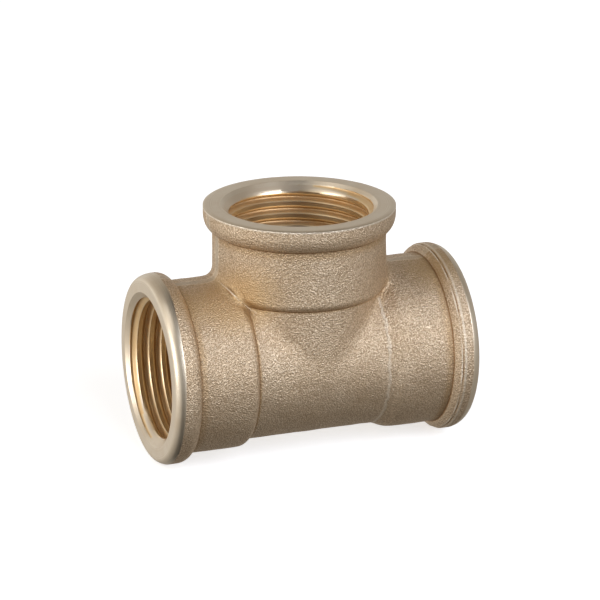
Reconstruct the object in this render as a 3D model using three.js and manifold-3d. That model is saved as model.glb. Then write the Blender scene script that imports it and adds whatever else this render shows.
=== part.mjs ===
// Equal tee pipe fitting with a G 1/2 internal thread in each of its three sockets.
// The body is one brass casting. Only its mouths, bores and threads are machined.
// Millimetres, +Z up. The run lies along X and the branch points up. The origin is under the point
// where the axes cross, level with the lowest points of the rims, which the fitting stands on.

import * as THREE from "three";
import { mergeVertices } from "three/addons/utils/BufferGeometryUtils.js";
import Module from "manifold-3d";

const wasm = await Module();
wasm.setup();

// Driving dimensions of the casting.
const RUN_END = 22.4; // from the crossing of the axes to each mouth of the run
const BRANCH_END = 22; // and to the mouth of the branch
const RIM_D = 27; // rolled rim round each mouth
const SOCKET_D = 24.3; // wall over the thread
const CORE_D = 22.5; // waist between the sockets
const PASSAGE_D = 17.2; // cored passage behind the threads

// G 1/2 parallel pipe thread, with its crests cut off by the tapping bore.
const THREAD_MAJOR_D = 20.955;
const THREAD_PITCH = 1.814;
const THREAD_FLANK = THREE.MathUtils.degToRad(27.5);
const THREAD_DEPTH = 0.640327 * THREAD_PITCH; // radial depth of the full rounded form
const TAPPING_D = 19.4;

// Depths along each socket, measured in from its mouth.
const MOUTH_CHAMFER = 1.25; // at 45 degrees, from the bore out to the face
const THREAD_LENGTH = 10.4;
const TAPPING_LENGTH = 11.2;

// What differs between the arms. End is the mouth, and socket and waist are where the shoulder between
// those two starts and ends, all measured out from the crossing of the axes. Land and rim are where the
// rim starts and stops rounding down to the socket, measured in from the mouth. Front is the rounding
// turned on the rim.
const RUN_FRONT = { radial: 1.1, axial: 1.5 };
const BRANCH_FRONT = { radial: 0.45, axial: 0.25 };
const LEFT = {
  tilt: -Math.PI / 2,
  end: RUN_END,
  land: 2.2,
  rim: 3.85,
  front: RUN_FRONT,
  socket: 11.1,
  waist: 9.8,
};
const RIGHT = {
  tilt: Math.PI / 2,
  end: RUN_END,
  land: 2.4,
  rim: 3.75,
  front: RUN_FRONT,
  socket: 12.1,
  waist: 9.2,
};
const BRANCH = {
  tilt: 0,
  end: BRANCH_END,
  land: 1.15,
  rim: 3.35,
  front: BRANCH_FRONT,
  socket: 11.1,
  waist: 9.8,
};

const SIDES = 32; // flats round every revolved surface, and steps in each turn of the threads
const ROUNDING_STEPS = 4; // flats along each rounding
const OVERRUN = 1; // how far a cutter runs past the face that it opens
const BRANCH_INSET = 0.05; // the branch's foot is this much inside the run's skin and bore

/** A closed geometry as a manifold solid. */
function solid(geometry) {
  const bare = geometry.clone().deleteAttribute("normal").deleteAttribute("uv");
  const merged = mergeVertices(bare, 1e-4);
  return new wasm.Manifold(
    new wasm.Mesh({
      numProp: 3,
      vertProperties: merged.attributes.position.array,
      triVerts: new Uint32Array(merged.index.array),
    }),
  );
}

/** A manifold solid as a geometry with flat facets. */
function geometryOf(made) {
  const mesh = made.getMesh();
  const geometry = new THREE.BufferGeometry();
  geometry.setAttribute("position", new THREE.BufferAttribute(mesh.vertProperties, mesh.numProp));
  geometry.setIndex(new THREE.BufferAttribute(mesh.triVerts, 1));
  const faceted = geometry.toNonIndexed();
  faceted.computeVertexNormals();
  return faceted;
}

/** A solid turned about +Z from [radius, height] points that start and end on the axis, going up. */
function revolved(profile) {
  const points = profile.map(([radius, height]) => new THREE.Vector2(radius, height));
  return new THREE.LatheGeometry(points, SIDES).rotateX(Math.PI / 2);
}

/** Points on a convex quarter ellipse that leaves the smaller radius square and joins the larger level. */
function rounding(small, large, squareEnd, levelEnd) {
  return Array.from({ length: ROUNDING_STEPS + 1 }, (_, step) => {
    const angle = (step / ROUNDING_STEPS) * (Math.PI / 2);
    const radius = small + (large - small) * Math.sin(angle);
    return [radius, levelEnd + (squareEnd - levelEnd) * Math.cos(angle)];
  });
}

/** The outside of one arm, from the waist to the middle of its mouth. */
function armOutside(arm, coreR) {
  const rimR = RIM_D / 2;
  const faceR = rimR - arm.front.radial;
  return [
    ...rounding(coreR, SOCKET_D / 2, arm.waist, arm.socket),
    ...rounding(SOCKET_D / 2, rimR, arm.end - arm.rim, arm.end - arm.land),
    ...rounding(faceR, rimR, arm.end, arm.end - arm.front.axial).reverse(),
    [0, arm.end],
  ];
}

/** What is bored out of one arm, from the end of the passage to past the mouth. */
function armBore(end, passageR) {
  const tappingR = TAPPING_D / 2;
  const tappingEnd = end - TAPPING_LENGTH;
  return [
    [passageR, tappingEnd - (tappingR - passageR)],
    [tappingR, tappingEnd],
    [tappingR, end - MOUTH_CHAMFER],
    [tappingR + MOUTH_CHAMFER + OVERRUN, end + OVERRUN],
    [0, end + OVERRUN],
  ];
}

/** Two arms end to end along Z, from the profiles of the lower and the upper one. */
function wholeRun(lower, upper) {
  const turnedOver = lower.map(([radius, height]) => [radius, -height]).reverse();
  return revolved([...turnedOver, ...upper]);
}

/** One arm along +Z that starts on a flat foot at the crossing of the axes. */
function branchOnly(profile) {
  const [footR] = profile[0];
  return revolved([[0, 0], [footR, 0], ...profile]);
}

/** A right-handed helix about +Z that winds down from a height. */
class Helix extends THREE.Curve {
  constructor(radius, pitch, top, turns) {
    super();
    Object.assign(this, { radius, pitch, top, turns });
  }

  getPoint(t, target = new THREE.Vector3()) {
    const turned = t * this.turns;
    const angle = -2 * Math.PI * turned;
    const x = this.radius * Math.cos(angle);
    const y = this.radius * Math.sin(angle);
    return target.set(x, y, this.top - this.pitch * turned);
  }

  /** Frames that keep a section upright, with its x pointing out from the axis and its y up. */
  computeFrenetFrames(segments) {
    const frames = { tangents: [], normals: [], binormals: [] };
    for (let step = 0; step <= segments; step += 1) {
      const angle = (-2 * Math.PI * this.turns * step) / segments;
      frames.tangents.push(this.getTangent(step / segments));
      frames.normals.push(new THREE.Vector3(Math.cos(angle), Math.sin(angle), 0));
      frames.binormals.push(new THREE.Vector3(0, 0, 1));
    }
    return frames;
  }
}

/** The groove of one thread, which starts in the mouth's chamfer and stops at the thread's end. */
function threadGroove(end) {
  const majorR = THREAD_MAJOR_D / 2;
  const pitchR = majorR - THREAD_DEPTH / 2;
  const clearR = TAPPING_D / 2 - 0.2; // inside the bore, so that the groove cuts through its wall
  const halfWidth = (radius) => THREAD_PITCH / 4 + (pitchR - radius) * Math.tan(THREAD_FLANK);
  const section = new THREE.Shape([
    new THREE.Vector2(clearR - pitchR, -halfWidth(clearR)),
    new THREE.Vector2(majorR - pitchR, -halfWidth(majorR)),
    new THREE.Vector2(majorR - pitchR, halfWidth(majorR)),
    new THREE.Vector2(clearR - pitchR, halfWidth(clearR)),
  ]);
  const turns = Math.round(((THREAD_LENGTH + OVERRUN) / THREAD_PITCH) * SIDES) / SIDES;
  const bottom = end - THREAD_LENGTH + halfWidth(clearR);
  const helix = new Helix(pitchR, THREAD_PITCH, bottom + turns * THREAD_PITCH, turns);
  return new THREE.ExtrudeGeometry(section, { steps: turns * SIDES, extrudePath: helix });
}

/** Joins solids into one. */
function joined(solids) {
  return solids.reduce((all, next) => all.add(next));
}

/** The whole body: run and branch joined, then bored and threaded. */
function teeBody() {
  const centre = new THREE.Matrix4().makeTranslation(0, 0, RIM_D / 2);
  const placed = (geometry, arm) => {
    const turn = new THREE.Matrix4().makeRotationY(arm.tilt);
    return solid(geometry.clone().applyMatrix4(turn).applyMatrix4(centre));
  };
  const coreR = CORE_D / 2;
  const passageR = PASSAGE_D / 2;
  const casting = joined([
    placed(wholeRun(armOutside(LEFT, coreR), armOutside(RIGHT, coreR)), RIGHT),
    placed(branchOnly(armOutside(BRANCH, coreR - BRANCH_INSET)), BRANCH),
  ]);
  const bores = joined([
    placed(wholeRun(armBore(LEFT.end, passageR), armBore(RIGHT.end, passageR)), RIGHT),
    placed(branchOnly(armBore(BRANCH.end, passageR - BRANCH_INSET)), BRANCH),
  ]);
  const threads = joined([LEFT, RIGHT, BRANCH].map((arm) => placed(threadGroove(arm.end), arm)));
  return casting.subtract(bores).subtract(threads);
}

const castBrass = new THREE.MeshStandardMaterial({
  name: "cast_brass",
  color: 0xc2a27c,
  metalness: 1,
  roughness: 0.42,
});

const body = new THREE.Mesh(geometryOf(teeBody()), castBrass);
body.name = "tee_body";

const tee = new THREE.Group();
tee.name = "tee_fitting";
tee.add(body);

export default tee;
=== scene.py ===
"""Looks of the brass tee fitting: one fine mesh of the casting with its turned mouths and threads."""

import math

import bmesh
import bpy
import numpy as np
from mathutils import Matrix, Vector


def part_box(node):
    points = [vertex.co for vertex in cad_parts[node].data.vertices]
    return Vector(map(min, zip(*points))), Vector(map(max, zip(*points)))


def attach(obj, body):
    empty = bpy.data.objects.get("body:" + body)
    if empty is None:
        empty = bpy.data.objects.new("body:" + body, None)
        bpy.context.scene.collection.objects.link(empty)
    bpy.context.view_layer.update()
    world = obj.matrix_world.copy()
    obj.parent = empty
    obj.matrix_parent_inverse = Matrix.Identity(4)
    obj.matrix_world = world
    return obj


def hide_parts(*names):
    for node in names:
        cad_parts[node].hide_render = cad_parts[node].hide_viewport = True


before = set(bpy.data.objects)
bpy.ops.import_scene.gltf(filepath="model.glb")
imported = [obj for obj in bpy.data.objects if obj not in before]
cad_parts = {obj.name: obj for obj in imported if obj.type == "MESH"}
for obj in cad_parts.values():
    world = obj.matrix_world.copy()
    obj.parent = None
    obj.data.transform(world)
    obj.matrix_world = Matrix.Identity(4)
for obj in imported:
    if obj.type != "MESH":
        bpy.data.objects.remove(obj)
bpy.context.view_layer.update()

MM = 0.001

# Sizes of the body in millimetres, measured from where the three arms' axes cross.
# The overall ones come from the CAD node's box.
_, node_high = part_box("tee_body")
RIM_R = node_high.y / MM
CROSSING = Vector((0, 0, node_high.y))
RUN_END = node_high.x / MM
BRANCH_END = (node_high.z - node_high.y) / MM
SOCKET_R = 12.17
WAIST_R = 11.25
PASSAGE_R = 8.6
CHAMFER_R = 10.95  # where the mouth's 45 degree chamfer meets the face
STRAIGHT_END = 6.4  # depth from the mouth where the socket's wall gives way to the junction

# Fillets and blends of the casting, and how uneven its skin is.
CROTCH_BLEND = 1.5  # outside, between run and branch
PASSAGE_BLEND = 0.9  # and inside
LEAST_BLEND = 0.3
BLEND_FADE = 3  # how far below the crossing every blend has faded out
SHOULDER_FILLET = 0.16
FOOT_FILLET = 0.22
SKIN_UNEVENNESS = 0.022
LAND_UNEVENNESS = 0.006

# How quickly a shoulder rounds over: the power is less where two shoulders run into each other, which
# they do where the cosine from the plane of the arms is past TOUCHING.
SHOULDER_POWER = 3.2
TOUCHING_POWER = 1.2
TOUCHING = 0.85
TOUCHING_FADE = 0.16

# G 1/2 thread: the groove's pitch, flanks, root and the bore that cuts off its crests.
PITCH = 1.814
FLANK = math.radians(27.5)
FLANK_SLOPE = 1 / math.tan(FLANK)
ROOT_R = 10.4775
ROOT_ROUNDING = 0.137329 * PITCH
ROOT_HALF = ROOT_ROUNDING * math.cos(FLANK)  # half the width of the rounded root
APEX_R = ROOT_R - ROOT_ROUNDING + ROOT_ROUNDING / math.sin(FLANK)  # where the two flanks would meet
TAPPING_R = 9.72
CREST_EDGE = 0.07  # half the width of the bevel worn on each crest's edges
THREAD_END = 9.6  # depth at which the groove starts to fade out
THREAD_FADE = 1.3
TAPPING_END = 11.2
CONE_END = 11.86

# The flash: rough metal at the front of the seam between the left socket and the branch. It lies past
# FLASH_OUT along both arms and in front of FLASH_FRONT, and fades in over FLASH_FADE.
FLASH_HEIGHT = 0.12
FLASH_WIDTH = 0.2
FLASH_OUT = 8
FLASH_FRONT = 2
FLASH_FADE = 1.5

# The thin ridge round the gradual shoulder, where two parts of the mould met.
RIDGE_HEIGHT = 0.07
RIDGE_WIDTH = 0.17
RIDGE_OUT = 0.8  # from the waist
RIDGE_SEAM_FADE = 0.6
RIDGE_BOTTOM = -10
RIDGE_BOTTOM_FADE = 8

# The line along a rim's back: a rise and a dip, as depths from the rim's foot.
LEDGE_RISE = 0.75
LEDGE_DIP = 0.95
LEDGE_WIDTH = 0.1
DIP_SHARE = 1.4  # depth of the dip over the height of the rise

# Numbers of rows and columns in the mesh.
COLUMNS = 176  # steps round every arm, a multiple of 8
JUNCTION_ROWS = 50
SEAM_ROWS = 20  # rows that give way along the arm for the skin's unevenness at the seam
WALL_ROWS = 8
FILLET_ROWS = 5
BACK_ROWS = 19
ROUNDED_ROWS = 10
PLAIN_ROWS = 4  # across each land, bevel, face, chamfer and cone
PASSAGE_ROWS = 13
FINE_STEPS = 500  # steps in which a junction's rows are shared out
HALVINGS = 30
ANGLES = np.arange(COLUMNS) * 2 * np.pi / COLUMNS

# axis and side are an arm's own directions; hand turns its thread right-handed about them, and start
# is the thread's phase in turns. end is the mouth, from the crossing of the axes.
# socket and waist are where the shoulder starts and ends; a gradual one has no sharp foot.
# land is where the rim's cast land ends and foot where its back does, as depths from the mouth.
# back is 1 for an elliptic back and more for a flatter one, and ledge the height of the line along it.
# The turned front is front_depth long and front_drop deep.
# The cast land is off the turning axis by offset, towards the angle toward.
ARMS = {
    "left": {
        "axis": (-1, 0, 0), "side": (0, 0, 1), "hand": 1, "start": 0.71, "end": RUN_END,
        "socket": 11.1, "waist": 9.8, "gradual": False,
        "land": 2.3, "foot": 3.9, "back": 1.0, "ledge": 0,
        "front_depth": 2.2, "front_drop": 1.1, "rounded": True, "offset": 0.07, "toward": 0.3,
    },
    "right": {
        "axis": (1, 0, 0), "side": (0, 0, 1), "hand": -1, "start": 0.8, "end": RUN_END,
        "socket": 12.1, "waist": 9.0, "gradual": True,
        "land": 2.4, "foot": 3.75, "back": 1.5, "ledge": 0.045,
        "front_depth": 2.2, "front_drop": 1.1, "rounded": True, "offset": 0.06, "toward": 2.0,
    },
    "branch": {
        "axis": (0, 0, 1), "side": (1, 0, 0), "hand": 1, "start": 0.38, "end": BRANCH_END,
        "socket": 11.1, "waist": 9.8, "gradual": False,
        "land": 1.15, "foot": 3.35, "back": 1.0, "ledge": 0,
        "front_depth": 0.12, "front_drop": 0.35, "rounded": False, "offset": 0.03, "toward": 0.5,
    },
}
CAST, TURNED, THREADED, CORED = range(4)


# --- The casting's skin and its cored passage, as surfaces where a function is zero ------------------

def smoothstep(value):
    value = np.clip(value, 0, 1)
    return value * value * (3 - 2 * value)


def bell(values, centre, width):
    return np.exp(-(((values - centre) / width) ** 2))


def larger(a, b, fillet):
    """The larger of two heights, with a fillet of that reach between them."""
    near = np.maximum(fillet - np.abs(a - b), 0)
    return np.maximum(a, b) + near * near / (4 * fillet)


def shoulder_radius(depth, across, arm):
    """Radius of an arm between waist and socket. across is the cosine from the plane of the arms."""
    t = np.minimum((depth - arm["waist"]) / (arm["socket"] - arm["waist"]), 1)
    if arm["gradual"]:
        rise = np.where(t > 0, t * t * (3 - 2 * t), -t * t)
    else:
        apart = smoothstep((TOUCHING - across) / TOUCHING_FADE)
        power = TOUCHING_POWER + (SHOULDER_POWER - TOUCHING_POWER) * apart
        rise = 1 - np.maximum(1 - t, 0) ** power
    return WAIST_R + larger((SOCKET_R - WAIST_R) * np.maximum(rise, -1), 0, SHOULDER_FILLET)


def crossed(points, run_radius, branch_radius, reach):
    """Below zero inside the run or the branch, with a blend of that reach in the crotch between them."""
    x, y, z = points
    distance = np.sqrt(x * x + y * y + z * z)
    to_run = np.hypot(y, z) - run_radius
    to_branch = np.where(z > 0, np.hypot(x, y), distance) - branch_radius
    crotch = np.hypot(x, np.maximum(z, 0)) / distance
    reach = (LEAST_BLEND + reach * crotch**3) * smoothstep(1 + z / BLEND_FADE)
    reach = np.maximum(reach, 1e-6)
    near = np.maximum(reach - np.abs(to_run - to_branch), 0) / reach
    return np.minimum(to_run, to_branch) - near * near * reach / 4


def skin(points):
    x, y, z = points
    run_across = np.maximum(z, 0) / np.maximum(np.hypot(y, z), 1e-9)
    branch_across = np.abs(x) / np.maximum(np.hypot(x, y), 1e-9)
    left = shoulder_radius(-x, run_across, ARMS["left"])
    right = shoulder_radius(x, run_across, ARMS["right"])
    branch = shoulder_radius(z, branch_across, ARMS["branch"])
    return crossed(points, np.where(x < 0, left, right), branch, CROTCH_BLEND)


def passage(points):
    return crossed(points, PASSAGE_R, PASSAGE_R, PASSAGE_BLEND)


def root(value, low, high):
    """Where an increasing function of an array of numbers crosses zero, by halving."""
    for _ in range(HALVINGS):
        middle = (low + high) / 2
        below = value(middle) < 0
        low, high = np.where(below, middle, low), np.where(below, high, middle)
    return (low + high) / 2


# --- Rows of points round an arm ---------------------------------------------------------------------

def place(arm, depth, radius):
    """Points at distances along an arm's axis from the crossing, and at radii from that axis."""
    axis, side = np.array(arm["axis"], float), np.array(arm["side"], float)
    across = side[:, None, None] * (radius * np.cos(ANGLES))
    upright = np.array([0, 1, 0])[:, None, None] * (radius * np.sin(ANGLES))
    return axis[:, None, None] * depth + across + upright


def seam_share(name):
    """How far along its arm each column's seam with the other arms lies, as a share of its radius."""
    across = np.cos(ANGLES)
    return np.abs(across) if name == "branch" else np.maximum(across, 0)


def seam_row(name, surface, low, high):
    """The row where an arm's surface meets those of the other arms, on the planes between them."""
    share = seam_share(name)
    radius = root(
        lambda r: surface(place(ARMS[name], r * share, r)),
        np.full((1, COLUMNS), low),
        np.full((1, COLUMNS), high),
    )
    return radius * share, radius


def on_surface(name, surface, depth, low, high):
    """Radii of a surface at an arm's depths, looked for only on this arm's side of the seam."""
    high = np.minimum(high, depth / np.maximum(seam_share(name), 1e-6))
    return root(lambda r: surface(place(ARMS[name], depth, r)), np.full(depth.shape, low), high)


def between(start, end, count):
    """count rows from start up to but not including end."""
    return start + (end - start) * np.arange(count)[:, None] / count


def drawn_waves():
    """Random directions, lengths in millimetres and phases of the waves that make skin uneven."""
    draws = np.random.default_rng(11)
    count = 40
    directions = draws.normal(size=(count, 3))
    directions /= np.linalg.norm(directions, axis=1)[:, None]
    return directions, draws.uniform(1.6, 7.0, count), draws.uniform(0, 2 * np.pi, count)


WAVES = drawn_waves()


def unevenness(points):
    """Smooth random numbers about zero over space, for the hand-made look of cast skin."""
    _, lengths, _ = WAVES
    total = 0
    for direction, length, phase in zip(*WAVES):
        along = np.tensordot(direction, points, 1)
        total = total + np.sin(2 * np.pi * along / length + phase) * length
    return total / (lengths.mean() * np.sqrt(len(lengths) / 2))


def junction(name):
    """Depths and radii of the skin from the seam out to the plain wall of the socket."""
    arm = ARMS[name]
    seam, seam_r = seam_row(name, skin, WAIST_R - 1, RIM_R + 2)
    fine = seam + (arm["end"] - STRAIGHT_END - seam) * np.linspace(0, 1, FINE_STEPS)[:, None]
    # Rows crowd where the skin bends: how much, round which depth and over which width.
    crowds = (
        (6, arm["waist"], 0.4),
        (3, (arm["waist"] + arm["socket"]) / 2, 0.8),
        (1.5, seam, 1.0),
        (5, seam, 0.25),
    )
    density = 1 + sum(extra * bell(fine, centre, width) for extra, centre, width in crowds)
    share = np.cumsum(density, axis=0) - density[0]
    share /= share[-1]
    steps = np.arange(JUNCTION_ROWS) / JUNCTION_ROWS
    depth = np.array([np.interp(steps, share[:, c], fine[:, c]) for c in range(COLUMNS)]).T
    radius = on_surface(name, skin, depth, WAIST_R - 1, RIM_R + 2)
    radius[0] = seam_r[0]
    return depth, radius


def flash(points, from_seam):
    """Height of the ragged flash, which is the same on both sides of the seam."""
    x, y, z = points
    along_arms = smoothstep((-x - FLASH_OUT) / FLASH_FADE) * smoothstep((z - FLASH_OUT) / FLASH_FADE)
    in_front = smoothstep((-y - FLASH_FRONT) / FLASH_FADE)
    ragged = 1 + 0.8 * unevenness(3 * points)
    wander = 0.1 * unevenness(2.5 * points)
    height = FLASH_HEIGHT * ragged.clip(0.2, 2.2) * along_arms * in_front
    return height * bell(from_seam, wander, FLASH_WIDTH)


def mould_ridge(arm, depth, points):
    """Height of the thin ridge round a gradual shoulder. It stops at the seam and fades low down."""
    if not arm["gradual"]:
        return 0
    fading = smoothstep((points[2] - RIDGE_BOTTOM) / RIDGE_BOTTOM_FADE)
    fading = fading * smoothstep((depth - depth[0]) / RIDGE_SEAM_FADE)
    ragged = 1 + 0.3 * unevenness(2 * points)
    along = bell(depth, arm["waist"] + RIDGE_OUT, RIDGE_WIDTH)
    return RIDGE_HEIGHT * ragged.clip(0.2, 2) * fading * along


def cast_land_radius(arm):
    """Radius of the rim's cast land, a little off the turning axis."""
    points = place(arm, np.full((1, COLUMNS), arm["end"]), np.full((1, COLUMNS), RIM_R))
    off_axis = arm["offset"] * (1 - np.cos(ANGLES - arm["toward"]))
    return RIM_R - off_axis - LAND_UNEVENNESS * (1 + unevenness(points)[0].clip(-1, 1))


def rim_back(arm, land_r):
    """Depths and radii from the socket's wall up the fillet and the rounded back of the rim."""
    back = arm["foot"] - arm["land"]
    height = land_r - SOCKET_R
    start = np.arccos((FOOT_FILLET / height) ** (1 / arm["back"]))
    foot = arm["end"] - arm["land"] - back * np.sin(start) ** arm["back"]
    arc = np.linspace(0, np.pi / 2, FILLET_ROWS)[:-1, None]
    depth = [foot - FOOT_FILLET + FOOT_FILLET * np.sin(arc)]
    radius = [SOCKET_R + FOOT_FILLET * (1 - np.cos(arc)) + 0 * foot]
    turn = start * np.linspace(1, 0, BACK_ROWS)[:-1, None]
    depth.append(arm["end"] - arm["land"] - back * np.sin(turn) ** arm["back"])
    radius.append(SOCKET_R + height * np.cos(turn) ** arm["back"])
    depth, radius = np.concatenate(depth), np.concatenate(radius)
    ragged = 1 + 0.4 * unevenness(2 * place(arm, depth, radius))
    line = bell(depth, foot + LEDGE_RISE, LEDGE_WIDTH)
    line = line - DIP_SHARE * bell(depth, foot + LEDGE_DIP, LEDGE_WIDTH)
    return depth, radius + arm["ledge"] * ragged.clip(0.1, 2) * line


def rim_front(arm, land_r):
    """Depths and radii of the turned front, from where it cuts the cast land to the face."""
    length, drop = arm["front_depth"], arm["front_drop"]
    cut = np.clip((RIM_R - land_r) / drop, 0.002, 1)
    if arm["rounded"]:
        turn = np.arccos(1 - cut)
        turn = turn + (np.pi / 2 - turn) * np.linspace(0, 1, ROUNDED_ROWS)[:, None]
        return arm["end"] - length * (1 - np.sin(turn)), RIM_R - drop * (1 - np.cos(turn))
    step = cut + (1 - cut) * np.linspace(0, 1, PLAIN_ROWS)[:, None]
    return arm["end"] - length * (1 - step), RIM_R - drop * step


def outside(name):
    """The arm's rows from the seam to the chamfer: depths, radii, and where the turned part starts."""
    arm = ARMS[name]
    depth, radius = junction(name)
    points = place(arm, depth, radius)
    lift = SKIN_UNEVENNESS * unevenness(points) + flash(points, depth - depth[0])
    near_seam = smoothstep(1 - np.arange(len(depth)) / SEAM_ROWS)[:, None]
    depth += lift * seam_share(name) * near_seam
    radius += lift + mould_ridge(arm, depth, points)
    land_r = cast_land_radius(arm)
    back_depth, back_radius = rim_back(arm, land_r)
    wall = between(depth[-1], back_depth[0], WALL_ROWS)[1:]
    wall_radius = np.full_like(wall, SOCKET_R)
    fade = smoothstep(np.linspace(1, 0, len(wall)))[:, None]
    wall_radius += SKIN_UNEVENNESS * unevenness(place(arm, wall, wall_radius)) * fade
    front_depth, front_radius = rim_front(arm, land_r)
    land = between(np.full(COLUMNS, arm["end"] - arm["land"]), front_depth[0], PLAIN_ROWS)
    cast_depth = np.concatenate([depth, wall, back_depth, land])
    cast_radius = np.concatenate([radius, wall_radius, back_radius, np.tile(land_r, (len(land), 1))])
    face_radius = between(front_radius[-1], np.full(COLUMNS, CHAMFER_R), PLAIN_ROWS)[1:]
    chamfer = np.linspace(0, CHAMFER_R - ROOT_R, PLAIN_ROWS)[:, None] + np.zeros(COLUMNS)
    turned_depth = [front_depth, np.full_like(face_radius, arm["end"]), arm["end"] - chamfer]
    turned_radius = [front_radius, face_radius, CHAMFER_R - chamfer]
    return (
        np.concatenate([cast_depth, *turned_depth]),
        np.concatenate([cast_radius, *turned_radius]),
        len(cast_depth),
    )


def groove_radius(offset, depth):
    """Radius of the thread groove at an offset along the axis from its middle."""
    flank = APEX_R - np.abs(offset) * FLANK_SLOPE
    arc = np.sqrt(np.maximum(ROOT_ROUNDING**2 - offset**2, 0))
    groove = np.where(np.abs(offset) < ROOT_HALF, ROOT_R - ROOT_ROUNDING + arc, flank)
    return groove - np.maximum(depth - THREAD_END, 0) / THREAD_FADE


def thread(name):
    """Rows that follow the thread's helix, from the chamfer to the end of the tapping bore."""
    arm = ARMS[name]
    half_crest = (APEX_R - TAPPING_R) / FLANK_SLOPE
    ahead = [ROOT_HALF / 2, ROOT_HALF, (ROOT_HALF + half_crest) / 2]
    ahead += [half_crest - CREST_EDGE, half_crest + CREST_EDGE]
    offsets = [-value for value in reversed(ahead)] + [0] + ahead + [PITCH / 2]
    first = CHAMFER_R - ROOT_R
    turns = np.arange(-2, math.ceil(TAPPING_END / PITCH) + 2) * PITCH
    helix = (turns[:, None] + np.array(offsets)).reshape(-1, 1)
    lead = arm["start"] * PITCH - arm["hand"] * PITCH * ANGLES / (2 * np.pi)
    depth = np.clip(helix + lead, first, TAPPING_END)
    offset = np.mod(depth - lead + PITCH / 2, PITCH) - PITCH / 2
    radius = np.maximum(groove_radius(offset, depth), TAPPING_R)
    radius = np.maximum(radius, CHAMFER_R - depth)
    return arm["end"] - depth, radius, -arm["hand"] * len(offsets)


def bored(arm, depth, radius):
    """1 on the thread's bored crests, 2 on the mouth's chamfer and 0 in the groove."""
    close = 0.01
    on_crest = radius < TAPPING_R + close
    on_chamfer = radius < CHAMFER_R - (arm["end"] - depth) + close
    return np.where(on_chamfer, 2.0, on_crest)


def inside(name):
    """Rows from the end of the tapping bore down its cone and along the cored passage to the seam."""
    end = ARMS[name]["end"]
    seam, seam_r = seam_row(name, passage, PASSAGE_R - 1, RIM_R)
    cone = np.linspace(0, 1, PLAIN_ROWS)[:, None] + np.zeros(COLUMNS)
    cone_depth = end - TAPPING_END - (CONE_END - TAPPING_END) * cone
    cone_radius = TAPPING_R + (PASSAGE_R - TAPPING_R) * cone
    depth = seam + (cone_depth[-1] - seam) * np.linspace(1, 0, PASSAGE_ROWS)[1:, None] ** 1.3
    radius = on_surface(name, passage, depth, PASSAGE_R - 1, RIM_R)
    radius[-1] = seam_r[0]
    return np.concatenate([cone_depth, depth]), np.concatenate([cone_radius, radius]), len(cone) - 1


# --- The mesh ----------------------------------------------------------------------------------------

class Sheets:
    """Grids of points, gathered as one list of vertices and faces, with a region for each face."""

    def __init__(self):
        self.points, self.faces, self.regions, self.turning, self.bored = [], [], [], [], []
        self.count = 0

    def add(self, points, regions, turning, bored_mark=None, shift=0):
        """regions has one number for each band between rows. turning is the distance along the cut.

        A grid that closes on a helix has a shift: past the last column, a row goes on as the row that
        many further down.
        """
        rows = points.shape[1]
        index = self.count + np.arange(rows * COLUMNS).reshape(rows, COLUMNS)
        carried = np.clip(np.arange(rows) + shift, 0, rows - 1)
        around = np.concatenate([index, index[carried, :1]], axis=1)
        quads = np.stack([around[:-1, :-1], around[1:, :-1], around[1:, 1:], around[:-1, 1:]], axis=-1)
        self.faces.append(quads.reshape(-1, 4))
        self.regions.append(np.repeat(regions, COLUMNS))
        self.points.append(points.reshape(3, -1).T)
        self.turning.append(turning.reshape(-1))
        self.bored.append(np.zeros(rows * COLUMNS) if bored_mark is None else bored_mark.reshape(-1))
        self.count += rows * COLUMNS


def tee_sheets():
    sheets = Sheets()
    for name, arm in ARMS.items():
        depth, radius, turned_from = outside(name)
        steps = np.hypot(np.diff(depth, axis=0), np.diff(radius, axis=0))[::-1]
        turning = np.concatenate([np.zeros((1, COLUMNS)), np.cumsum(steps, axis=0)])[::-1]
        regions = np.where(np.arange(len(depth) - 1) < turned_from, CAST, TURNED)
        sheets.add(place(arm, depth, radius), regions, turning)
        depth, radius, shift = thread(name)
        regions = np.full(len(depth) - 1, THREADED)
        sheets.add(place(arm, depth, radius), regions, radius - depth, bored(arm, depth, radius), shift)
        depth, radius, cored_from = inside(name)
        regions = np.where(np.arange(len(depth) - 1) < cored_from, THREADED, CORED)
        sheets.add(place(arm, depth, radius), regions, radius - depth)
    return sheets


def tee_mesh():
    sheets = tee_sheets()
    points = np.concatenate(sheets.points) * MM + np.array(CROSSING)
    mesh = bpy.data.meshes.new("tee_casting")
    mesh.from_pydata(points.tolist(), [], np.concatenate(sheets.faces).tolist())
    store(mesh, "turning", np.concatenate(sheets.turning))
    store(mesh, "bored", np.concatenate(sheets.bored))
    mesh.polygons.foreach_set("material_index", np.concatenate(sheets.regions).astype(np.int32))
    mesh.polygons.foreach_set("use_smooth", np.ones(len(mesh.polygons), bool))
    close_mesh(mesh)
    mesh.set_sharp_from_angle(angle=math.radians(32))
    store_hollows(mesh)
    return mesh


def close_mesh(mesh):
    """Joins the sheets along their shared rows and drops the faces that have no area."""
    bm = bmesh.new()
    bm.from_mesh(mesh)
    bmesh.ops.remove_doubles(bm, verts=bm.verts, dist=0.002 * MM)
    bmesh.ops.recalc_face_normals(bm, faces=bm.faces)
    bm.to_mesh(mesh)
    bm.free()


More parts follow.
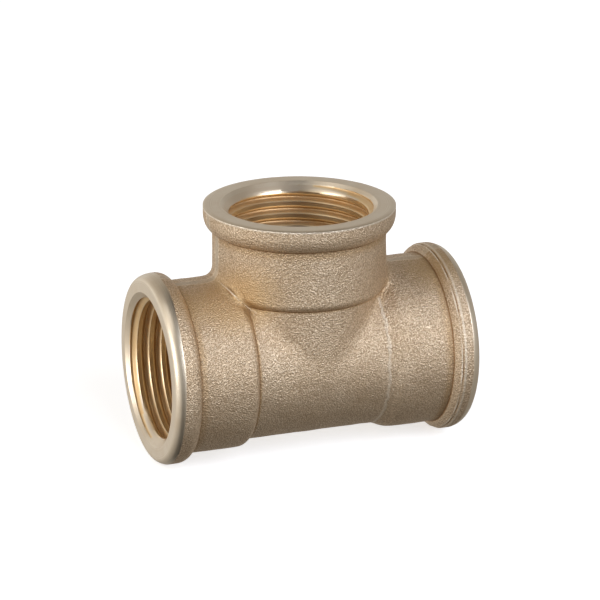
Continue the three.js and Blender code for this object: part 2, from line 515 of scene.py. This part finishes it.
def store_hollows(mesh):
    """Stores how hollow the surface is at each point, and how close to a hollow each point is."""
    count = len(mesh.vertices)
    points = np.empty(count * 3, np.float32)
    mesh.vertices.foreach_get("co", points)
    points = points.reshape(-1, 3) / MM
    normals = np.empty(count * 3, np.float32)
    mesh.vertices.foreach_get("normal", normals)
    normals = normals.reshape(-1, 3)
    ends = np.empty(len(mesh.edges) * 2, np.int32)
    mesh.edges.foreach_get("vertices", ends)
    first, second = ends.reshape(-1, 2).T
    step = points[second] - points[first]
    square = np.maximum((step * step).sum(axis=1), 1e-4)
    neighbours = np.bincount(ends, minlength=count)
    hollow = np.bincount(first, (normals[first] * step).sum(axis=1) / square, count)
    hollow -= np.bincount(second, (normals[second] * step).sum(axis=1) / square, count)
    hollow /= neighbours
    for rounds, name in ((2, "hollow"), (14, "near_hollow")):
        for _ in range(rounds):
            spread = np.bincount(first, hollow[second], count) + np.bincount(second, hollow[first], count)
            hollow = (hollow + spread / neighbours) / 2
        store(mesh, name, hollow)


def store(mesh, name, values):
    attribute = mesh.attributes.new(name, "FLOAT", "POINT")
    attribute.data.foreach_set("value", np.asarray(values, np.float32))


# --- Materials ---------------------------------------------------------------------------------------

# Marks on the cast skin, in millimetres from the part's origin.
PARTING_HALF = 0.6  # half the width of the strip where the parting line was trimmed, at its narrowest
RIDGE_X = 9.45  # where the line round the right shoulder starts
RIDGE_TOP = 23.0  # and the height where it meets the branch
RIDGE_MARK_HALF = 0.35
# Painted shade on the tops of the run's sockets: brownish patches that darken them.
TOP_SHADE_PATCHES = (  # the centre of each and how far it reaches
    ((-12.5, -5, 23.5), 5.5),
    ((-9, -7.5, 25.5), 4.0),
    ((-18.3, -5.5, 24), 3.5),
    ((18.6, -4, 25.5), 4.5),
)
TOP_SHADE_FADE = 3.5

CAST_BROWN, CAST_PALE = (0.68, 0.53, 0.37), (0.76, 0.62, 0.46)
# Painted shade near hollows: a brown that darkens the skin close to a hollow.
HOLLOW_SHADE = (0.56, 0.38, 0.20)
# Painted shade in the grit's pits and painted highlight on its pebble tops.
PIT_SHADE = (0.38, 0.27, 0.17)
PEBBLE_HIGHLIGHT = (0.94, 0.86, 0.74)
TRIMMED_GREY = (0.62, 0.54, 0.43)
TRIMMED_EDGE = (0.92, 0.82, 0.66)
# Painted shade on the sockets' tops.
TOP_SHADE = (0.62, 0.44, 0.24)
# Pale colour for worn convex edges, which is also a painted highlight on them and on the ridge line.
WEAR_AND_HIGHLIGHT = (0.95, 0.88, 0.76)
# Painted shade in creases.
CREVICE_SHADE = (0.30, 0.175, 0.085)
TURNED_DULL, TURNED_CLEAN = (0.76, 0.66, 0.52), (0.82, 0.74, 0.61)
TURNED_MARK = (0.60, 0.48, 0.34)
# The grooves' golden brown is painted shade from light bouncing in the groove, and the crest colour is a
# painted highlight.
GROOVE_BROWN, GROOVE_GOLD = (0.79, 0.56, 0.30), (0.85, 0.67, 0.41)
GROOVE_ROOT_SHADE = (0.40, 0.22, 0.09)
GROOVE_MARK = (0.55, 0.36, 0.18)
CREST_HIGHLIGHT = (0.88, 0.73, 0.50)
CHAMFER = (0.79, 0.70, 0.57)
CORE_BROWN, CORE_PALE = (0.40, 0.27, 0.15), (0.55, 0.40, 0.25)
CORE_PIT_SHADE = (0.24, 0.15, 0.08)
PAPER = (0.78, 0.8, 0.83)


class Nodes:
    """A node tree, filled by short calls: a number, colour or vector is set, and a socket is linked."""

    def __init__(self, owner):
        self.owner = owner
        owner.use_nodes = True
        self.tree = owner.node_tree

    def put(self, node, socket, value):
        if isinstance(value, bpy.types.NodeSocket):
            self.tree.links.new(value, node.inputs[socket])
        elif isinstance(value, tuple) and node.inputs[socket].type == "RGBA":
            node.inputs[socket].default_value = (*value, 1)
        else:
            node.inputs[socket].default_value = value

    def add(self, kind, sockets=None, **settings):
        node = self.tree.nodes.new(kind)
        for name, value in settings.items():
            setattr(node, name, value)
        for socket, value in (sockets or {}).items():
            self.put(node, socket, value)
        return node

    def finish(self, shader, sockets):
        """Sets the inputs of the shader of that name, and gives back what owns the tree."""
        for socket, value in sockets.items():
            self.put(self.tree.nodes[shader], socket, value)
        return self.owner

    def position(self):
        """Millimetres from the part's origin."""
        where = self.add("ShaderNodeTexCoord").outputs["Object"]
        return self.add("ShaderNodeVectorMath", {0: where, "Scale": 1 / MM}, operation="SCALE").outputs[0]

    def part(self, vector, axis):
        return self.add("ShaderNodeSeparateXYZ", {0: vector}).outputs[axis]

    def size(self, value):
        """A number without its sign."""
        return self.add("ShaderNodeMath", {0: value}, operation="ABSOLUTE").outputs[0]

    def mark(self, name):
        return self.add("ShaderNodeAttribute", attribute_name=name).outputs["Fac"]

    def noise(self, where, scale, detail=2.0, roughness=0.5):
        sockets = {"Vector": where, "Scale": scale, "Detail": detail, "Roughness": roughness}
        return self.add("ShaderNodeTexNoise", sockets).outputs["Fac"]

    def rings(self, along, scale, detail=2.0):
        """Noise that changes only along a distance, as tool marks do."""
        sockets = {"W": along, "Scale": scale, "Detail": detail}
        return self.add("ShaderNodeTexNoise", sockets, noise_dimensions="1D").outputs["Fac"]

    def span(self, value, low, high, to_low=0.0, to_high=1.0):
        """value's stretch from low to high, taken to to_low and to_high."""
        sockets = {"Value": value, "From Min": low, "From Max": high, "To Min": to_low, "To Max": to_high}
        return self.add("ShaderNodeMapRange", sockets).outputs["Result"]

    def sum(self, first, second, share=1.0):
        """first and a share of second."""
        sockets = {0: second, 1: share, 2: first}
        return self.add("ShaderNodeMath", sockets, operation="MULTIPLY_ADD").outputs[0]

    def times(self, first, second):
        return self.add("ShaderNodeMath", {0: first, 1: second}, operation="MULTIPLY").outputs[0]

    def most(self, first, second):
        return self.add("ShaderNodeMath", {0: first, 1: second}, operation="MAXIMUM").outputs[0]

    def blend(self, share, first, second):
        """A colour from first to second."""
        mix = self.add("ShaderNodeMix", data_type="RGBA")
        self.put(mix, "Factor", share)
        self.put(mix, 6, first)
        self.put(mix, 7, second)
        return mix.outputs[2]

    def bump(self, height, depth, under=None):
        sockets = {"Height": height, "Distance": depth * MM, "Strength": 1.0}
        if under is not None:
            sockets["Normal"] = under
        return self.add("ShaderNodeBump", sockets).outputs["Normal"]


def metal(n, colour, roughness, normal):
    sockets = {"Base Color": colour, "Metallic": 1.0, "Roughness": roughness, "Normal": normal}
    return n.finish("Principled BSDF", sockets)


def blasted_grain(n, where):
    """Height of the shot-blasted grain: pebbles with finer grit over them."""
    voronoi = {"Vector": where, "Scale": 4.3, "Smoothness": 0.35}
    pebbles = n.add("ShaderNodeTexVoronoi", voronoi, feature="SMOOTH_F1").outputs["Distance"]
    tops = n.span(pebbles, 0.1, 0.8, 1.0, 0.0)
    return n.sum(n.times(n.noise(where, 4.9, 2.0, 0.6), 1.5), tops, 0.45)


def parting_strip(n, where):
    """The strip trimmed along the plane of the three axes, where the mould parted, and its border."""
    from_middle = n.sum(n.size(n.part(where, "Y")), n.noise(where, 0.45, 2.0, 0.5), 0.8)
    strip = n.span(from_middle, PARTING_HALF + 0.5, PARTING_HALF + 0.35)
    outer = n.span(from_middle, PARTING_HALF + 0.6, PARTING_HALF + 0.5)
    return strip, n.times(outer, n.span(strip, 1.0, 0.0))


def ridge_mark(n, where):
    """The ragged line round the right shoulder, below the branch."""
    along = n.sum(n.part(where, "X"), n.noise(where, 0.8, 3.0, 0.6), 0.9)
    middle = RIDGE_X + RIDGE_MARK_HALF
    line = n.times(n.span(along, RIDGE_X, middle), n.span(along, middle + RIDGE_MARK_HALF, middle))
    return n.times(line, n.span(n.part(where, "Z"), RIDGE_TOP, RIDGE_TOP - 0.4))


def with_top_shade(n, where, patches, colour):
    """The colour with painted shade over the tops of the run's sockets, in brownish patches."""
    for centre, reach in TOP_SHADE_PATCHES:
        away = n.add("ShaderNodeVectorMath", {0: where, 1: centre}, operation="DISTANCE").outputs["Value"]
        blotch = n.span(n.sum(away, patches, -2.0), reach - TOP_SHADE_FADE, reach, 0.65, 0.0)
        colour = n.blend(blotch, colour, TOP_SHADE)
    return colour


def cast_brass():
    """Shot-blasted sand-cast skin: sharp fine grit and a smoother trimmed parting line, with painted
    shade in hollows, in the grit's pits and on the sockets' tops, and painted highlights on pebble tops,
    on the ridge line and on convex edges, which are also worn.
    """
    n = Nodes(bpy.data.materials.new("cast_brass"))
    where = n.position()
    grain = blasted_grain(n, where)
    strip, border = parting_strip(n, where)
    ridge = ridge_mark(n, where)
    height = n.sum(n.times(grain, n.span(strip, 0, 1, 1.0, 0.35)), border, 0.7)
    height = n.sum(height, ridge, 0.9)
    normal = n.bump(height, 0.10, n.bump(n.noise(where, 0.8, 2.0, 0.5), 0.05))
    patches = n.noise(where, 0.16, 3.0, 0.6)
    hollow = n.mark("hollow")
    colour = n.blend(n.span(patches, 0.3, 0.7), CAST_BROWN, CAST_PALE)
    # Painted shade near hollows, varied by the random patches.
    hollow_shade = n.span(n.mark("near_hollow"), 0.02, 0.22, 0.0, 0.75)
    colour = n.blend(n.times(hollow_shade, n.span(patches, 0.25, 0.6, 0.5, 1.0)), colour, HOLLOW_SHADE)
    # Painted shade in the grain's pits and painted highlight on its pebble tops, both taken from the
    # grain's height.
    colour = n.blend(n.span(grain, 0.75, 1.15, 0.7, 0.0), colour, PIT_SHADE)
    colour = n.blend(n.span(grain, 1.15, 1.5, 0.0, 0.6), colour, PEBBLE_HIGHLIGHT)
    colour = n.blend(n.span(strip, 0, 1, 0.0, 0.6), colour, TRIMMED_GREY)
    colour = n.blend(n.times(border, 0.6), colour, TRIMMED_EDGE)
    # Painted shade on the tops of the run's sockets.
    colour = with_top_shade(n, where, patches, colour)
    # Painted highlight along the ridge line round the right shoulder.
    colour = n.blend(n.times(ridge, 0.5), colour, WEAR_AND_HIGHLIGHT)
    # Convex edges paled: wear and a painted highlight.
    colour = n.blend(n.span(hollow, -0.9, -0.3, 0.7, 0.0), colour, WEAR_AND_HIGHLIGHT)
    # Painted shade in creases: deep hollows darkened to dark brown.
    colour = n.blend(n.span(hollow, 0.12, 0.9, 0.0, 0.8), colour, CREVICE_SHADE)
    return metal(n, colour, n.span(grain, 0.7, 1.4, 0.60, 0.36), normal)


def turned_brass():
    """Faces, chamfers and rounded fronts left by a turning tool: pale and satin, with fine rings."""
    n = Nodes(bpy.data.materials.new("turned_brass"))
    where, turning = n.position(), n.mark("turning")
    feed = n.rings(turning, 7.0, 2.0)
    bands = n.rings(turning, 1.7, 2.0)
    blotch = n.noise(where, 0.35, 3.0, 0.6)
    colour = n.blend(n.span(blotch, 0.3, 0.7), TURNED_DULL, TURNED_CLEAN)
    colour = n.blend(n.span(feed, 0.35, 0.7, 0.0, 0.3), colour, TURNED_MARK)
    roughness = n.sum(n.span(bands, 0.3, 0.7, 0.30, 0.40), n.noise(where, 3.0, 2.0, 0.5), 0.06)
    return metal(n, colour, roughness, n.bump(feed, 0.0015, n.bump(bands, 0.010)))


def threaded_brass():
    """The tapped thread: pale bored crests with a painted highlight, a pale chamfer, and grooves painted
    golden brown as shade, darkest in their roots.
    """
    n = Nodes(bpy.data.materials.new("threaded_brass"))
    where = n.position()
    crest, chamfer = n.span(n.mark("bored"), 0, 1), n.span(n.mark("bored"), 1, 2)
    feed = n.rings(n.mark("turning"), 4.0, 1.0)
    blotch = n.noise(where, 0.5, 3.0, 0.6)
    # Grooves painted golden brown as shade, in random patches.
    colour = n.blend(n.span(blotch, 0.3, 0.7), GROOVE_BROWN, GROOVE_GOLD)
    # Painted shade in the groove roots.
    colour = n.blend(n.span(n.mark("hollow"), 0.1, 1.2, 0.0, 0.8), colour, GROOVE_ROOT_SHADE)
    # Painted highlight on the bored crests.
    colour = n.blend(crest, colour, CREST_HIGHLIGHT)
    colour = n.blend(chamfer, colour, CHAMFER)
    colour = n.blend(n.span(feed, 0.3, 0.7, 0.0, 0.2), colour, GROOVE_MARK)
    roughness = n.sum(n.span(crest, 0, 1, 0.46, 0.28), chamfer, 0.08)
    roughness = n.sum(roughness, n.noise(where, 0.9, 2.0, 0.5), 0.06)
    return metal(n, colour, roughness, n.bump(feed, 0.001))


def cored_brass():
    """The passage as cast round its sand core: rough and brown."""
    n = Nodes(bpy.data.materials.new("cored_brass"))
    where = n.position()
    grit = n.noise(where, 2.2, 4.0, 0.65)
    patches = n.noise(where, 0.4, 3.0, 0.6)
    colour = n.blend(n.span(patches, 0.3, 0.7), CORE_BROWN, CORE_PALE)
    # Painted shade in the grit's pits.
    colour = n.blend(n.span(grit, 0.35, 0.6, 0.5, 0.0), colour, CORE_PIT_SHADE)
    return metal(n, colour, n.span(grit, 0.3, 0.7, 0.65, 0.45), n.bump(grit, 0.09))


def tee_casting():
    casting = bpy.data.objects.new("tee_casting", tee_mesh())
    bpy.context.scene.collection.objects.link(casting)
    for material in (cast_brass(), turned_brass(), threaded_brass(), cored_brass()):
        casting.data.materials.append(material)
    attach(casting, "root")
    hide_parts("tee_body")
    return casting


# --- The studio --------------------------------------------------------------------------------------

# The camera looks past the crossing of the axes, from the front left and a little above. The angles are
# in degrees and the lengths in millimetres.
AZIMUTH = -20.418
ELEVATION = 18.982
ROLL = 0.168
DISTANCE = 405.05
LENS = 171.58
AIM_RIGHT = 0.148
AIM_UP = 7.306

# Brightness of the surround, from straight below to straight above.
SURROUND = (
    (0.0, (0.30, 0.275, 0.24)),
    (0.3, (0.66, 0.62, 0.57)),
    (0.45, (0.80, 0.77, 0.73)),
    (0.56, (0.92, 0.90, 0.87)),
    (0.75, (0.55, 0.50, 0.44)),
    (1.0, (0.36, 0.32, 0.27)),
)
LIGHTS_AIM = (0, 0, 0.015)


def camera():
    azimuth, elevation = math.radians(AZIMUTH), math.radians(ELEVATION)
    level = math.cos(elevation)
    back = Vector((math.sin(azimuth) * level, -math.cos(azimuth) * level, math.sin(elevation)))
    data = bpy.data.cameras.new("camera")
    data.lens = LENS
    data.clip_start = 0.01
    made = bpy.data.objects.new("camera", data)
    bpy.context.scene.collection.objects.link(made)
    made.rotation_euler = back.to_track_quat("Z", "Y").to_euler()
    right = made.rotation_euler.to_matrix() @ Vector((1, 0, 0))
    up = made.rotation_euler.to_matrix() @ Vector((0, 1, 0))
    made.location = CROSSING + (AIM_RIGHT * right + AIM_UP * up + DISTANCE * back) * MM
    made.rotation_euler.rotate_axis("Z", math.radians(ROLL))
    bpy.context.scene.camera = made


def area_light(name, place_at, size, power, colour=(1, 1, 1)):
    data = bpy.data.lights.new(name, "AREA")
    data.shape = "RECTANGLE"
    data.size, data.size_y = size
    data.energy = power
    data.color = colour
    made = bpy.data.objects.new(name, data)
    bpy.context.scene.collection.objects.link(made)
    made.location = place_at
    made.rotation_euler = (Vector(place_at) - Vector(LIGHTS_AIM)).to_track_quat("Z", "Y").to_euler()


def floor(height):
    """A pale floor, lit a little from within. The metal reflects the surround and not the floor."""
    mesh = bpy.data.meshes.new("floor")
    bm = bmesh.new()
    bmesh.ops.create_circle(bm, cap_ends=True, segments=96, radius=3.0)
    bm.to_mesh(mesh)
    bm.free()
    made = bpy.data.objects.new("floor", mesh)
    bpy.context.scene.collection.objects.link(made)
    made.location.z = height
    made.visible_glossy = False
    n = Nodes(bpy.data.materials.new("floor"))
    sockets = {
        "Base Color": PAPER,
        "Roughness": 0.9,
        "Emission Color": (1.0, 1.0, 1.0),
        "Emission Strength": 0.6,
    }
    mesh.materials.append(n.finish("Principled BSDF", sockets))


def studio():
    """A soft surround: brighter at the horizon and to the left, with a dark gap in front and overhead."""
    n = Nodes(bpy.data.worlds.new("studio"))
    direction = n.add("ShaderNodeTexCoord").outputs["Generated"]
    ramp = n.add("ShaderNodeValToRGB", {"Fac": n.span(n.part(direction, "Z"), -1, 1)})
    while len(ramp.color_ramp.elements) < len(SURROUND):
        ramp.color_ramp.elements.new(0.5)
    for element, (position, colour) in zip(ramp.color_ramp.elements, SURROUND):
        element.position = position
        element.color = (*colour, 1)
    sockets = {"Vector": direction, "Angle": -math.radians(AZIMUTH)}
    facing = n.add("ShaderNodeVectorRotate", sockets, rotation_type="Z_AXIS").outputs[0]
    beside_gap = n.span(n.size(n.part(facing, "X")), 0.16, 0.3, 0.05, 1.0)
    behind_gap = n.span(n.part(facing, "Y"), 0.3, 0.6)
    side = n.span(n.part(direction, "X"), -1, 1, 1.25, 0.5)
    strength = n.times(side, n.most(beside_gap, behind_gap))
    sockets = {"Color": ramp.outputs["Color"], "Strength": strength}
    bpy.context.scene.world = n.finish("Background", sockets)


camera()
casting = tee_casting()
floor(min(vertex.co.z for vertex in casting.data.vertices))
studio()
area_light("key", (0.22, -0.56, 0.37), (0.6, 0.45), 3.8, (0.93, 0.98, 1.08))
area_light("left", (-0.6, -0.15, 0.16), (0.3, 0.35), 1.2)
area_light("top left", (-0.42, -0.05, 0.55), (0.4, 0.5), 0.5)
bpy.context.scene.view_settings.view_transform = "Standard"
